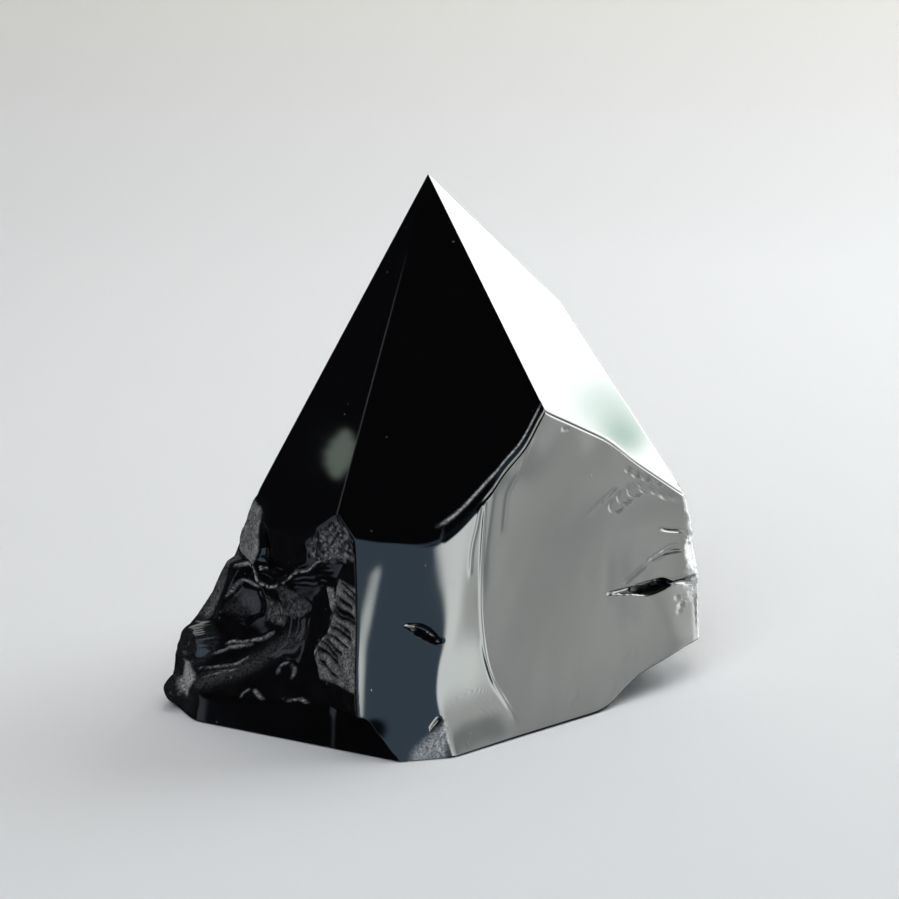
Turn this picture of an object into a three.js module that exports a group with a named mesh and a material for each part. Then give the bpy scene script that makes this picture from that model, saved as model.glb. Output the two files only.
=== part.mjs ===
import * as THREE from 'three';

// Polished obsidian point: one lump of black volcanic glass. The upper half is ground to flat
// facets that meet at an apex, the lower half is left as it broke off, and the base is sawn flat.
// Millimetres, +Z up. Azimuths are measured from the front (-Y) towards the right (+X).

const APEX = [-2.9, 3.0, 81.4];
const SHOULDER = [17.7, 8.3, 59.9]; // where the low right facet starts under the apex facets
const BOX_MIDDLE = [-1.93, 1.88]; // X and Y of the middle of the stone's box before it is centred

const COLUMNS = 160; // around the broken skirt
const LOW_ROWS = 7; // from the lower edge to the ledge line
const HIGH_ROWS = 19; // from the ledge line to the rim of the facets

// Polished facets, in order around the point: azimuth and elevation of the outward normal.
const APEX_FACETS = [[-165, 31], [-112, 23.6], [-58, 29.6], [14, 27], [56, 33.3], [140, 38.8]];
const LOW_FACET = [112, 28.6];

// The face at the left end, and by how much it swells below a height.
const LEFT_END = [-112, 22, [-25.5, 10, 27]];
const LEFT_END_SWELL = 0.95;
const LEFT_END_SHOULDER = 23;

// Broken flat faces of the back and the two sides: azimuth, elevation, point, edge rounding.
const SIDE_FACES = [
  [-104, 2, [-42.3, -8, 8], 0.5],
  [-140, 13, [-20, 22, 22], 0.8],
  [178, 10, [2, 33, 18], 0.8],
  [128, 10, [28, 22, 18], 0.8],
  [104, 13, [37.5, 6, 27], 0.8],
  [90, 2, [40, 2, 12], 0.8],
  [94, 18, [40.3, 3, 25], 0.5],
];

// Shell-shaped hollows left by flakes: point, azimuth, elevation, radius, depth.
const LEFT_SCARS = [
  [[-27.6, -18.2, 15], -50, 14, 9, 2.6],
  [[-19, -22, 17], -35, 4, 7, 0.8],
];
const BACK_SCARS = [
  [[-34, 12, 14], -110, 14, 12, 2],
  [[-18, 26, 20], -150, 14, 13, 2.6],
  [[8, 33, 12], 175, 8, 11, 2.2],
  [[24, 24, 24], 135, 16, 13, 2.8],
  [[38, 12, 12], 100, 4, 9, 2],
  [[38.9, 1.5, 21], 84, 4, 2.6, 0.9],
];

// Below a crooked ridge the left side stands proud: ridge height and overhang, both as
// [distance along the side, value], and two lumps at its foot as [centre, radius].
const LEFT_SIDE = -50;
const RIDGE = [[-24, 21.5], [-17, 22.4], [-11, 22.8], [-9.6, 20.2], [-6.7, 20.3], [-3.7, 22.3], [1, 25], [4, 27],
  [6.3, 28.6], [9, 31]];
const BULGE = [[-20, 1.8], [-9, 1.7], [-3, 0.9], [4, 0.5], [9, 0.2]];
const LUMPS = [[[-38.7, -10, 9.4], 3.5], [[-41.6, -12, 3], 2.5]];

// The face between the front and the left side leans by this much more, up to a height.
const STEP_LEAN = 0.105;
const STEP_TOP = 36.5;

// Deep narrow chips in the front, as [X, height] of both ends, width and depth.
const CHIPS = [
  [[25, 17.8], [35.5, 17], 2.2, 1.4],
  [[31.5, 21], [38.5, 21], 1.6, 0.9],
  [[-8.4, 20.3], [0.2, 17], 2, 1.1],
];

// The two ridges down the front and the upright flute left of them, as [height, X].
const ARRIS = [[0, 11.3], [6.2, 8.75], [11.3, 6.5], [16, 5.3], [22, 5.2], [30, 6], [41, 7.5]];
const FOLD = [[0, 1.2], [3.3, 0], [8.5, -1.5], [12.5, -1.4], [17, -0.3], [23, 0.9], [30.5, -0.4], [40, -1]];
const FLUTE = [[4, -11.4], [12, -11.1], [16.5, -10.8], [23.6, -9.4], [29.3, -8]];

// Height of the lower edge above the base, as [azimuth, height]: a flake is missing under the
// right-hand corner.
const LOWER_EDGE = [[50, 0.2], [56, 0.3], [60, 0.9], [65, 2.6], [70, 4.1], [77, 5.4], [84, 6.8], [96, 7],
  [108, 5.6], [120, 2.4], [130, 0.2]];

// Height of the ledge line round the stone, as [azimuth, height]: the top of the low ledge at the
// left, then the lip that the front face ends in, down to the tip.
const LEDGE = [[-180, 9], [-110, 8], [-85, 4.5], [-68, 4.5], [-55, 4.6], [-38, 5.6], [-22, 6.3], [-15.4, 6.2],
  [-11, 3.4], [-6.6, 0.5], [-3, 2.2], [8, 8], [60, 12], [90, 13], [130, 10], [180, 9]];

const radians = THREE.MathUtils.degToRad;
const clamp = THREE.MathUtils.clamp;

function normalOf([azimuth, elevation]) {
  const a = radians(azimuth);
  const e = radians(elevation);
  return [Math.sin(a) * Math.cos(e), -Math.cos(a) * Math.cos(e), Math.sin(e)];
}

function dot(a, b) {
  return a[0] * b[0] + a[1] * b[1] + a[2] * b[2];
}

function distance(a, b) {
  return Math.hypot(a[0] - b[0], a[1] - b[1], a[2] - b[2]);
}

function away(p, azimuth, elevation, at) {
  const n = normalOf([azimuth, elevation]);
  return dot(n, p) - dot(n, at);
}

// The larger of two values, with the corner between them rounded over a width k.
function larger(a, b, k) {
  const h = Math.max(k - Math.abs(a - b), 0) / k;
  return Math.max(a, b) + (h ** 3 * k) / 6;
}

function smaller(a, b, k) {
  return -larger(-a, -b, k);
}

function ramp(x, from, to) {
  return THREE.MathUtils.smoothstep(x, from, to);
}

// A smooth curve through [key, value] points, flat beyond its ends.
function curve(points, key) {
  const last = points.length - 1;
  const x = clamp(key, points[0][0], points[last][0]);
  const i = clamp(points.findIndex((p) => p[0] >= x) - 1, 0, last - 1);
  const slope = (j) => {
    const [a, b] = [points[Math.max(j - 1, 0)], points[Math.min(j + 1, last)]];
    return (b[1] - a[1]) / (b[0] - a[0]);
  };
  const h = points[i + 1][0] - points[i][0];
  const u = (x - points[i][0]) / h;
  const rise = points[i][1] * (2 * u ** 3 - 3 * u ** 2 + 1) + points[i + 1][1] * (3 * u ** 2 - 2 * u ** 3);
  return rise + h * (slope(i) * (u ** 3 - 2 * u ** 2 + u) + slope(i + 1) * (u ** 3 - u ** 2));
}

function swell(x, z, [atX, atZ, wideX, wideZ]) {
  return Math.exp(-(((x - atX) / wideX) ** 2) - ((z - atZ) / wideZ) ** 2);
}

// Depth of a chip that narrows to a point at both ends.
function cut(x, z, [from, to, width, depth]) {
  const [alongX, alongZ] = [to[0] - from[0], to[1] - from[1]];
  const length = Math.hypot(alongX, alongZ);
  const t = ((x - from[0]) * alongX + (z - from[1]) * alongZ) / length ** 2;
  if (t <= 0 || t >= 1) return 0;
  const aside = ((z - from[1]) * alongX - (x - from[0]) * alongZ) / length;
  const taper = Math.sin(Math.PI * t);
  return depth * taper * Math.max(0, 1 - (aside / (0.5 * width * taper)) ** 2);
}

// A straight bend: 0 on one side, rising with slope 1 on the other, rounded over a width.
function bend(x, width) {
  return x > 30 * width ? x : width * Math.log1p(Math.exp(x / width));
}

// A sphere that leaves a round hollow of the given radius and depth.
function scar(p, [at, azimuth, elevation, radius, depth]) {
  const sphere = (radius ** 2 + depth ** 2) / (2 * depth);
  const n = normalOf([azimuth, elevation]);
  const centre = at.map((v, i) => v + (sphere - depth) * n[i]);
  return sphere - distance(p, centre);
}

const frontY = (x, z) => -24.5 + 0.19 * (x + 7) + 0.277 * (z - 31) + 0.8 * Math.exp(-(((z - 10) / 8) ** 2));
const rightY = (x, z) => -8.3 + 0.715 * (x - 23.3) + 0.25 * (z - 27.8);

// The three scars of the front as one folded sheet: the narrow front face, a strip and the broad
// right-hand face, with ridges at FOLD and ARRIS, gentle swells, and an upright flute on the left.
function frontSheet([x, y, z]) {
  const arris = curve(ARRIS, z);
  const fold = curve(FOLD, z);
  const stripSlope = (rightY(arris, z) - frontY(fold, z)) / (arris - fold);
  const rounding = 0.25 + 2.2 * ramp(z, 12, 30);
  const hollow = (0.66 - 0.1 * ramp(z, 14, 26)) * ramp(z, 2, 7) * (1 - ramp(z, 27, 32));
  const flute = hollow * Math.exp(-(((x - curve(FLUTE, z)) / 2.8) ** 2));
  const sheet = rightY(x, z)
    + (0.715 - stripSlope) * bend(arris - x, 0.2)
    + (stripSlope - 0.19) * bend(fold - x, rounding)
    + 0.9 * swell(x, z, [22, 20, 11, 14])
    - 0.8 * swell(x, z, [14.5, 49, 6, 6])
    + 0.4 * swell(x, z, [25, 41, 4, 4])
    - 0.5 * swell(x, z, [11.5, 43, 3.5, 4])
    + flute;
  const chipped = CHIPS.reduce((sum, chip) => sum + cut(x, z, chip), sheet);
  return 0.8 * (chipped - y);
}

// Azimuth of a point about the upright line through the apex.
const azimuthOf = (p) => Math.atan2(p[0] - APEX[0], APEX[1] - p[1]);

// Distance along the left side, level and square to its azimuth.
const sideOf = (p) => p[0] * Math.cos(radians(LEFT_SIDE)) + p[1] * Math.sin(radians(LEFT_SIDE));

// How far a point lies outside the broken lump; below zero inside.
function lump(p) {
  const ledgeFace = away(p, -25, 10, [-7, -33, 0]);
  const aboveLedge = p[2] - curve(LEDGE, THREE.MathUtils.radToDeg(azimuthOf(p)));
  const front = Math.max(frontSheet(p), Math.min(ledgeFace, -aboveLedge));

  let left = away(p, -31, -3, [-16.3, -24, 36]);
  left = larger(left, away(p, -52, 13, [-24, -16.9, 31.3]), 1);
  left = larger(left, away(p, -70, 18, [-27.6, -11, 31.6]), 1);
  left = larger(left, away(p, -92, 24.5, [-35.2, -8, 20]), 1.5);
  const side = sideOf(p);
  left = smaller(left, larger(left - curve(BULGE, side), 0.8 * (p[2] - curve(RIDGE, side)), 0.3), 0.3);
  for (const hollow of LEFT_SCARS) left = larger(left, scar(p, hollow), 0.3);

  let ledge = larger(ledgeFace, away(p, -60, 10, [-38.6, -18.8, 0]), 1.5);
  ledge = larger(ledge, 0.6 * aboveLedge + 0.8 * ledgeFace, 1.5);

  const lean = STEP_LEAN * (p[2] - 20) * ramp(STEP_TOP - p[2], 0, 2.5);
  const step = away(p, -50, 2, [-14.1, -27.6, 20]) + lean;
  let out = larger(front, smaller(step, smaller(left, ledge, 0.8), 0.5), 0.4);
  out = larger(out, away(p, ...LEFT_END) - LEFT_END_SWELL * ramp(LEFT_END_SHOULDER - p[2], 0, 6), 0.8);
  for (const [azimuth, elevation, at, k] of SIDE_FACES) out = larger(out, away(p, azimuth, elevation, at), k);
  for (const [centre, radius] of LUMPS) out = smaller(out, distance(p, centre) - radius, 0.6);
  for (const hollow of BACK_SCARS) out = larger(out, scar(p, hollow), 0.4);
  return out;
}

// How far a point lies outside the polished facets.
function facets(p) {
  const sides = APEX_FACETS.map(([azimuth, elevation]) => away(p, azimuth, elevation, APEX));
  return Math.max(...sides, away(p, ...LOW_FACET, SHOULDER));
}

// Halves the span until it closes on the value where the test turns from true to false.
function lastTrue(test, low, high) {
  for (let i = 0; i < 40; i += 1) {
    const middle = (low + high) / 2;
    if (test(middle)) low = middle;
    else high = middle;
  }
  return (low + high) / 2;
}

const at = (angle, r, z) => [APEX[0] + r * Math.sin(angle), APEX[1] - r * Math.cos(angle), z];
const reach = (solid, angle, z) => lastTrue((r) => solid(at(angle, r, z)) < 0, 0, 80);

function cross(a, b) {
  return [a[1] * b[2] - a[2] * b[1], a[2] * b[0] - a[0] * b[2], a[0] * b[1] - a[1] * b[0]];
}

// Where the edge between two facets runs out onto the broken part, starting from a point on it.
function cornerOn(first, second, from) {
  const along = cross(normalOf(first), normalOf(second));
  const down = along[2] < 0 ? 1 : -1;
  const point = (t) => from.map((v, i) => v + down * t * along[i]);
  return point(lastTrue((t) => lump(point(t)) < 0, 0, 120));
}

// Facet corners on the rim. The columns of the skirt pass exactly through them.
const loop = APEX_FACETS.map((facet, i) => [facet, APEX_FACETS[(i + 1) % APEX_FACETS.length]]);
const corners = loop.filter(([a]) => a !== APEX_FACETS[4]).map(([a, b]) => azimuthOf(cornerOn(a, b, APEX)));
corners.push(azimuthOf(cornerOn(APEX_FACETS[4], LOW_FACET, SHOULDER)));
corners.push(azimuthOf(cornerOn(LOW_FACET, APEX_FACETS[5], SHOULDER)));
corners.sort((a, b) => a - b);

// Columns: evenly spread between neighbouring corners.
const columns = [];
corners.forEach((start, i) => {
  const end = i + 1 < corners.length ? corners[i + 1] : corners[0] + 2 * Math.PI;
  const count = Math.max(2, Math.round(((end - start) / (2 * Math.PI)) * COLUMNS));
  for (let k = 0; k < count; k += 1) columns.push(start + ((end - start) * k) / count);
});

const positions = [];
const triangles = [];
const grid = columns.map((angle) => {
  const degrees = THREE.MathUtils.radToDeg(Math.atan2(Math.sin(angle), Math.cos(angle)));
  const edge = curve(LOWER_EDGE, degrees);
  const rim = lastTrue((z) => lump(at(angle, reach(facets, angle, z), z)) > 0, 4, 75);
  const foot = reach(lump, angle, edge);
  const ledge = curve(LEDGE, degrees);
  const column = [at(angle, foot - 0.3 - 1.5 * edge, 0)];
  for (let row = 0; row <= LOW_ROWS; row += 1) {
    const z = edge + ((ledge - 0.06 - edge) * row) / LOW_ROWS;
    column.push(at(angle, reach(lump, angle, z), z));
  }
  for (let row = 0; row <= HIGH_ROWS; row += 1) {
    const z = ledge + 0.06 + ((rim - ledge - 0.06) * row) / HIGH_ROWS;
    column.push(at(angle, reach(row < HIGH_ROWS ? lump : facets, angle, z), z));
  }
  return column.map((p) => positions.push(p) - 1);
});

const quadRows = LOW_ROWS + HIGH_ROWS + 2;
grid.forEach((column, i) => {
  const next = grid[(i + 1) % grid.length];
  for (let row = 0; row < quadRows; row += 1) {
    triangles.push([column[row], next[row], next[row + 1]], [column[row], next[row + 1], column[row + 1]]);
  }
});

// The flat base.
const under = positions.push([0, 0, 0]) - 1;
grid.forEach((column, i) => triangles.push([under, grid[(i + 1) % grid.length][0], column[0]]));

// Polished facets: fans from the apex or the shoulder down to the rim.
const apex = positions.push(APEX) - 1;
const shoulder = positions.push(SHOULDER) - 1;
const lowStart = azimuthOf(cornerOn(APEX_FACETS[4], LOW_FACET, SHOULDER));
const lowEnd = azimuthOf(cornerOn(LOW_FACET, APEX_FACETS[5], SHOULDER));
grid.forEach((column, i) => {
  const next = grid[(i + 1) % grid.length];
  const middle = (columns[i] + (columns[i + 1] ?? columns[0] + 2 * Math.PI)) / 2;
  const low = middle > lowStart && middle < lowEnd;
  triangles.push([column[quadRows], next[quadRows], low ? shoulder : apex]);
  if (Math.abs(columns[i] - lowStart) < 1e-9) triangles.push([column[quadRows], shoulder, apex]);
  if (Math.abs(columns[i] - lowEnd) < 1e-9) triangles.push([shoulder, column[quadRows], apex]);
});

const geometry = new THREE.BufferGeometry();
geometry.setAttribute('position', new THREE.Float32BufferAttribute(positions.flat(), 3));
geometry.setIndex(triangles.flat());
geometry.translate(-BOX_MIDDLE[0], -BOX_MIDDLE[1], 0);
geometry.computeVertexNormals();

const material = new THREE.MeshStandardMaterial({ color: 0x0a0a0c, roughness: 0.05, metalness: 0 });
material.name = 'obsidian';
const stone = new THREE.Mesh(geometry, material);
stone.name = 'obsidian_point';

const group = new THREE.Group();
group.name = 'polished_obsidian_point';
group.add(stone);

export default group;
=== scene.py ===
"""A polished obsidian point: a lump of black volcanic glass whose upper half is ground to flat facets.

The lower half is left as it broke off, with ridges, scars, chips and ripples. The shape is worked out
in millimetres, in columns about the upright line through the apex, and enters Blender in metres.
Azimuths are degrees from the front (-Y) towards the right (+X), and elevations degrees from the level.
"""

import bpy
import numpy as np
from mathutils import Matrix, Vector


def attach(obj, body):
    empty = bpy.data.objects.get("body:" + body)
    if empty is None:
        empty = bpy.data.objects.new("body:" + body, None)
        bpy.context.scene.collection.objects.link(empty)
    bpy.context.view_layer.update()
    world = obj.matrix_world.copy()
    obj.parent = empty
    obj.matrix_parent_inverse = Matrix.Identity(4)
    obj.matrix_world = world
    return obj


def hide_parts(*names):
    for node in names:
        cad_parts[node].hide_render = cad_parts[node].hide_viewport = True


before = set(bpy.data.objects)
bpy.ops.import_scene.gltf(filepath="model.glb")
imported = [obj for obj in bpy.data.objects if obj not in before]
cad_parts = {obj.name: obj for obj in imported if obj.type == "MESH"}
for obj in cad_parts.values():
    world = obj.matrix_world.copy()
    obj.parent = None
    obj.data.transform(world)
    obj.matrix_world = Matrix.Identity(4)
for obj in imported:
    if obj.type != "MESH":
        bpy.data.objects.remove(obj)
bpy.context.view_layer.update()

# ---------------------------------------------------------------------------------------------
# Camera and room: a long lens looks slightly down on the front of the stone. The room itself is
# almost dark, because black glass would mirror it.
# ---------------------------------------------------------------------------------------------
MM = 0.001
CAMERA_AT = np.array((2.29, -382.3, 161.87)) * MM
CAMERA_PITCH = np.radians(72)
CAMERA_LENS = 102.51
SENSOR = 36
ROOM_COLOUR = (0.8, 0.85, 1, 1)
ROOM_STRENGTH = 0.02

camera_data = bpy.data.cameras.new("camera")
camera_data.lens = CAMERA_LENS
camera_data.sensor_width = SENSOR
camera_data.clip_start = 0.01
camera_data.clip_end = 20
camera = bpy.data.objects.new("camera", camera_data)
camera.location = CAMERA_AT
camera.rotation_euler = (CAMERA_PITCH, 0, 0)
bpy.context.scene.collection.objects.link(camera)
bpy.context.scene.camera = camera
bpy.context.scene.view_settings.view_transform = "Standard"

world = bpy.data.worlds.new("studio")
world.use_nodes = True
world.node_tree.nodes["Background"].inputs["Color"].default_value = ROOM_COLOUR
world.node_tree.nodes["Background"].inputs["Strength"].default_value = ROOM_STRENGTH
bpy.context.scene.world = world

# ---------------------------------------------------------------------------------------------
# Cloth: a pale sheet that lies flat under the stone and sweeps up behind it in one bend. It turns
# warmer as it rises. The stone doesn't mirror it, since its cards stand for what lies around.
# ---------------------------------------------------------------------------------------------
SWEEP_FRONT, SWEEP_BACK, SWEEP_RADIUS, SWEEP_TOP = -900, 430, 160, 900  # mm
SWEEP_HALF_WIDTH = 1200  # mm
CLOTH = (0.80, 0.815, 0.84, 1)
CLOTH_BACK = (0.82, 0.785, 0.715, 1)
CLOTH_TURNS_WARM_BY = 0.1  # m above the ground

MIX_A, MIX_B = 6, 7  # the colour inputs of a Mix node
MIX_RESULT = 2  # and its colour output


def node(material, kind, inputs, **settings):
    """A shader node, with its settings, and its inputs by name or number. An input is given a value,
    or an output of another node to link it to."""
    tree = material.node_tree
    made = tree.nodes.new(kind)
    for name, value in settings.items():
        setattr(made, name, value)
    for key, value in inputs.items():
        if isinstance(value, bpy.types.NodeSocket):
            tree.links.new(value, made.inputs[key])
        else:
            made.inputs[key].default_value = value
    return made


def remap(material, value, low, high, to_low=0.0, to_high=1.0):
    """A value carried from one span to another and held at its ends."""
    spans = {"Value": value, "From Min": low, "From Max": high, "To Min": to_low, "To Max": to_high}
    return node(material, "ShaderNodeMapRange", spans).outputs[0]


def blend_colours(material, share, first, second):
    inputs = {0: share, MIX_A: first, MIX_B: second}
    return node(material, "ShaderNodeMix", inputs, data_type="RGBA").outputs[MIX_RESULT]


def new_material(name):
    material = bpy.data.materials.new(name)
    material.use_nodes = True
    material.node_tree.nodes.clear()
    return material


def show(material, shader):
    """Makes a shader the surface of its material."""
    node(material, "ShaderNodeOutputMaterial", {"Surface": shader.outputs[0]})


def mesh_object(name, points, faces, material):
    mesh = bpy.data.meshes.new(name)
    mesh.from_pydata([tuple(p) for p in points], [], faces)
    mesh.materials.append(material)
    made = bpy.data.objects.new(name, mesh)
    bpy.context.scene.collection.objects.link(made)
    return made


cloth = new_material("cloth")
place = node(cloth, "ShaderNodeTexCoord", {}).outputs["Object"]
height = node(cloth, "ShaderNodeSeparateXYZ", {0: place}).outputs["Z"]
warmth = remap(cloth, height, 0.0, CLOTH_TURNS_WARM_BY)
cloth_colour = blend_colours(cloth, warmth, CLOTH, CLOTH_BACK)
show(cloth, node(cloth, "ShaderNodeBsdfDiffuse", {"Color": cloth_colour}))

turn = np.linspace(0, np.pi / 2, 25)
profile_y = np.concatenate(([SWEEP_FRONT], SWEEP_BACK - SWEEP_RADIUS * (1 - np.sin(turn)), [SWEEP_BACK]))
profile_z = np.concatenate(([0], SWEEP_RADIUS * (1 - np.cos(turn)), [SWEEP_TOP]))
sides = (-SWEEP_HALF_WIDTH * MM, SWEEP_HALF_WIDTH * MM)
sweep_points = [(x, y, z) for y, z in zip(profile_y * MM, profile_z * MM) for x in sides]
sweep_faces = [(2 * i, 2 * i + 1, 2 * i + 3, 2 * i + 2) for i in range(len(profile_y) - 1)]
sweep = mesh_object("sweep", sweep_points, sweep_faces, cloth)
sweep.data.polygons.foreach_set("use_smooth", [True] * len(sweep.data.polygons))
sweep.visible_glossy = False

# ---------------------------------------------------------------------------------------------
# Cards: black glass shows almost nothing but what it mirrors, so glowing cards stand round the
# stone, seen by gloss alone. A nearer card covers those behind it, and a dim one shades them.
# ---------------------------------------------------------------------------------------------
CARD_COLUMNS, CARD_ROWS = 49, 25
CARD_CENTRE = (0, 0, 0.02)  # m, about the middle of the stone's lower half

# Name, span of azimuth, span of elevation, distance in mm, colour, strength, feather in degrees.
CARDS = (
    # A tall window at the right, mirrored by the front and the right-hand facets.
    ("window", (46, 142), (-42, 34), 600, (0.97, 1.0, 0.965), 4.9, (6, 20)),
    ("window_edge", (48, 74), (-42, 34), 597, (0.97, 1.0, 0.97), 7.0, (9, 20)),
    ("window_near", (30, 56), (-30, 21), 594, (0.94, 1.0, 0.97), 13.0, (9, 12)),
    ("window_far", (76, 142), (-26, 18), 588, (0.97, 1.0, 0.98), 11, (10, 8)),
    ("window_high", (88, 136), (12, 40), 582, (0.98, 1.0, 0.99), 17.5, (7, 4)),
    # Blue daylight from the front, in the narrow face left of the front's middle, and its faint
    # counterpart in the left side.
    ("sky_low", (-14, 48), (-36, 26), 606, (0.52, 0.75, 1.0), 1.34, (5, 6)),
    ("left_low", (-78, -54.5), (-32, 8), 600, (0.74, 0.80, 1.0), 0.68, (2.5, 10)),
    # Two dimmer panes that grade the window across the broad face of the front.
    ("shade", (58, 69), (-6, 18), 591, (0.9, 1.0, 0.99), 3.3, (3.5, 4)),
    ("window_low", (60, 84), (-24, -1), 585, (0.95, 1.0, 0.98), 4.0, (8, 7)),
    # Soft light from above and behind, for the facets of the back.
    ("overhead", (-180, 180), (64, 90), 600, (0.95, 0.98, 1.0), 3.5, (1, 4)),
    ("behind", (146, 225), (30, 66), 594, (0.95, 0.98, 1.0), 2.0, (10, 5)),
)
# A green leaf, mirrored as an oval at the edge of the left facet: places along it with their half
# widths, its middle, and how azimuth and elevation change along it, in degrees. Distance in mm.
LEAF = ((-0.7, 0.36), (-0.36, 0.56), (0, 0.63), (0.36, 0.56), (0.7, 0.36))
LEAF_MIDDLE = (-114.2, 16.12)
LEAF_SLANT = (0.58, -0.81)
LEAF_DISTANCE, LEAF_COLOUR, LEAF_STRENGTH, LEAF_FEATHER = 590, (0.82, 1.0, 0.87), 1.5, (0.36, 0.36)
# More leaves, as a green haze low on the white facet.
GREEN_CARDS = (
    ("haze", (113.4, 117.6), (17.2, 23.4), 576, (0.86, 1.0, 0.94), 11.5, (2.0, 3.0)),
    ("cloud", (113.9, 116.1), (18.2, 20.9), 573, (0.76, 1.0, 0.88), 8.5, (1.1, 1.3)),
)


def smooth(x, low, high):
    """0 below low and 1 above high, with an eased rise between: u * u * (3 - 2 u)."""
    u = np.clip((x - low) / (high - low), 0, 1)
    return u * u * (3 - 2 * u)


def direction(azimuth, elevation):
    """Unit vector at an azimuth and an elevation."""
    a, e = np.radians(azimuth), np.radians(elevation)
    return np.array((np.sin(a) * np.cos(e), -np.cos(a) * np.cos(e), np.sin(e) + 0 * a))


def card(name, azimuths, elevations, distance, colour, strength, feather):
    """A glowing card that follows a sphere round the stone, between two azimuths and two elevations,
    and fades out over the feather inside its edges."""
    a, e = np.meshgrid(np.linspace(*azimuths, CARD_COLUMNS), np.linspace(*elevations, CARD_ROWS))
    fade = smooth(np.minimum(a - azimuths[0], azimuths[1] - a), 0, feather[0])
    fade = fade * smooth(np.minimum(e - elevations[0], elevations[1] - e), 0, feather[1])
    points = direction(a, e).transpose(1, 2, 0).reshape(-1, 3) * distance * MM + CARD_CENTRE
    i = np.arange(a.size).reshape(a.shape)
    faces = np.stack((i[:-1, :-1], i[:-1, 1:], i[1:, 1:], i[1:, :-1]), -1).reshape(-1, 4).tolist()

    material = new_material(name)
    level = node(material, "ShaderNodeAttribute", {}, attribute_name="glow").outputs["Fac"]
    glow = node(material, "ShaderNodeEmission", {"Color": (*colour, 1), "Strength": strength})
    clear = node(material, "ShaderNodeBsdfTransparent", {})
    show(material, node(material, "ShaderNodeMixShader", {0: level, 1: clear.outputs[0], 2: glow.outputs[0]}))

    made = mesh_object(name, points, faces, material)
    made.data.attributes.new("glow", "FLOAT", "POINT").data.foreach_set("value", fade.ravel())
    made.visible_camera = False
    made.visible_diffuse = False
    made.visible_shadow = False


for values in CARDS:
    card(*values)
for i, (t, half) in enumerate(LEAF):
    azimuth, elevation = LEAF_MIDDLE[0] + LEAF_SLANT[0] * t, LEAF_MIDDLE[1] + LEAF_SLANT[1] * t
    across, up = (azimuth - half, azimuth + half), (elevation - half, elevation + half)
    card(f"leaf_{i}", across, up, LEAF_DISTANCE - i, LEAF_COLOUR, LEAF_STRENGTH, LEAF_FEATHER)
for values in GREEN_CARDS:
    card(*values)

# ---------------------------------------------------------------------------------------------
# Lamps: three soft round lamps light the cloth, and the stone where it is frosted. The stone
# doesn't mirror them.
# ---------------------------------------------------------------------------------------------
# Name, place and aim in mm, diameter in mm, power in W, colour.
LAMPS = (
    ("key", (420, 260, 420), (0, 0, 0), 420, 1.9, (0.98, 1.0, 1.0)),
    ("fill", (-200, -500, 700), (0, 50, 0), 700, 3.0, (0.94, 0.97, 1.0)),
    ("backdrop", (120, 60, 700), (60, 430, 120), 500, 1.6, (1.0, 0.98, 0.94)),
)
for name, place, towards, size, power, colour in LAMPS:
    data = bpy.data.lights.new(name, "AREA")
    data.shape = "DISK"
    data.size = size * MM
    data.energy = power
    data.color = colour
    lamp = bpy.data.objects.new(name, data)
    bpy.context.scene.collection.objects.link(lamp)
    aim = np.array(towards, float) - np.array(place, float)
    lamp.location = np.array(place) * MM
    lamp.rotation_euler = Vector(aim).to_track_quat("-Z", "Y").to_euler()
    lamp.visible_glossy = False

# ---------------------------------------------------------------------------------------------
# The stone: one lump of natural black glass. Its top is sawn, ground and polished to seven flat
# facets, its base is sawn flat, and between them it keeps the shell-shaped scars of the break.
# ---------------------------------------------------------------------------------------------
APEX = np.array((-2.9, 3.0, 81.4))
SHOULDER = np.array((17.7, 8.3, 59.9))  # where the low facet starts under the apex facets
BOX_MIDDLE = np.array((-1.93, 1.88, 0))  # the middle of the stone's box before it is centred

# Polished facets, in order round the point: azimuth and elevation of the outward normal.
LEFT_FACET, FRONT_FACET, BEFORE_LOW, AFTER_LOW = (-58, 29.6), (14, 27), (56, 33.3), (140, 38.8)
APEX_FACETS = ((-165, 31), (-112, 23.6), LEFT_FACET, FRONT_FACET, BEFORE_LOW, AFTER_LOW)
LOW_FACET = (112, 28.6)

# Broken flat faces: azimuth, elevation, a point on the face, rounding of its edge with the others.
LEFT_FACE = (-31, -3, (-16.3, -24, 36))
LEFT_FACES = (
    (-52, 13, (-24, -16.9, 31.3), 1),
    (-70, 18, (-27.6, -11, 31.6), 1),
    (-92, 24.5, (-35.2, -8, 20), 1.5),
)
SIDE_FACES = (
    (-104, 2, (-42.3, -8, 8), 0.5),
    (-140, 13, (-20, 22, 22), 0.8),
    (178, 10, (2, 33, 18), 0.8),
    (128, 10, (28, 22, 18), 0.8),
    (104, 13, (37.5, 6, 27), 0.8),
    (90, 2, (40, 2, 12), 0.8),
    (94, 18, (40.3, 3, 25), 0.5),
)
# The face at the left end, and by how much it swells below a height.
LEFT_END = (-112, 22, (-25.5, 10, 27))
LEFT_END_SWELL, LEFT_END_SHOULDER = 0.95, 23
# The face between the front and the left side, which leans back by this much more about one height,
# up to another.
STEP_FACE = (-50, 2, (-14.1, -27.6, 20))
STEP_PIVOT, STEP_TOP, STEP_LEAN = 20, 36.5, 0.105
# The two upright faces under the ledge at the foot of the left side.
LEDGE_FACE = (-25, 10, (-7, -33, 0))
LEDGE_END = (-60, 10, (-38.6, -18.8, 0))

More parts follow.
